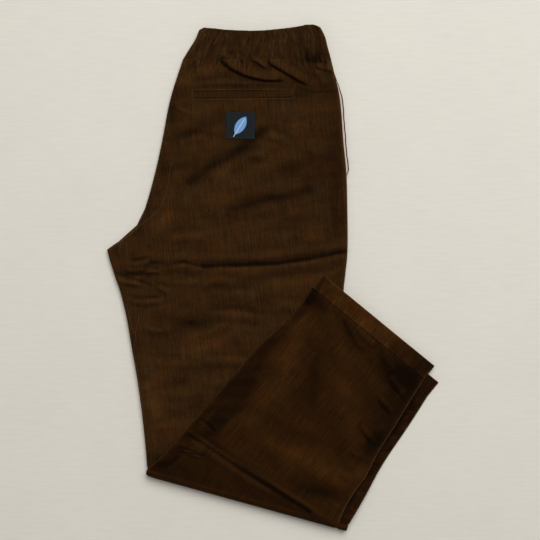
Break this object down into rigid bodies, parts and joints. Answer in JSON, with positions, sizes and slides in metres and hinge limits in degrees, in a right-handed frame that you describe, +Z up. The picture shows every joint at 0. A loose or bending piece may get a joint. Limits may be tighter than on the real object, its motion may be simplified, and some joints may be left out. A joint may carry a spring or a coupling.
{
  "type": "corduroy trousers",
  "caption": "Corduroy trousers with a gathered elastic waistband, folded down the middle and again at the knee, lying flat with the hems slanting over the thigh.",
  "frame": {"origin": "middle of the underside, on the surface the trousers lie on", "axes": "+Y up the thighs towards the waistband, +X across the thighs towards the side seams and the hems, +Z up from the surface"},
  "size_m": [0.4826, 0.7308, 0.023],
  "materials": {
    "corduroy": "dark brown cotton corduroy with a short nap, matt with a soft sheen",
    "patch": "dense woven patch, dark blue grey, matt",
    "pocketing": "thin plain cotton, off-white"
  },
  "bodies": {
    "root": {"waistband": "corduroy", "right_back_panel": "corduroy", "left_back_panel": "corduroy", "front_panels": "corduroy", "right_leg_lower": "corduroy", "left_hem": "corduroy", "right_hem": "corduroy", "back_pocket_welt": "corduroy", "pocket_patch": "patch", "right_pocket_lining": "pocketing", "right_pocket_edge": "corduroy", "left_pocket_lining": "pocketing", "left_pocket_edge": "corduroy"}
  },
  "joints": []
}
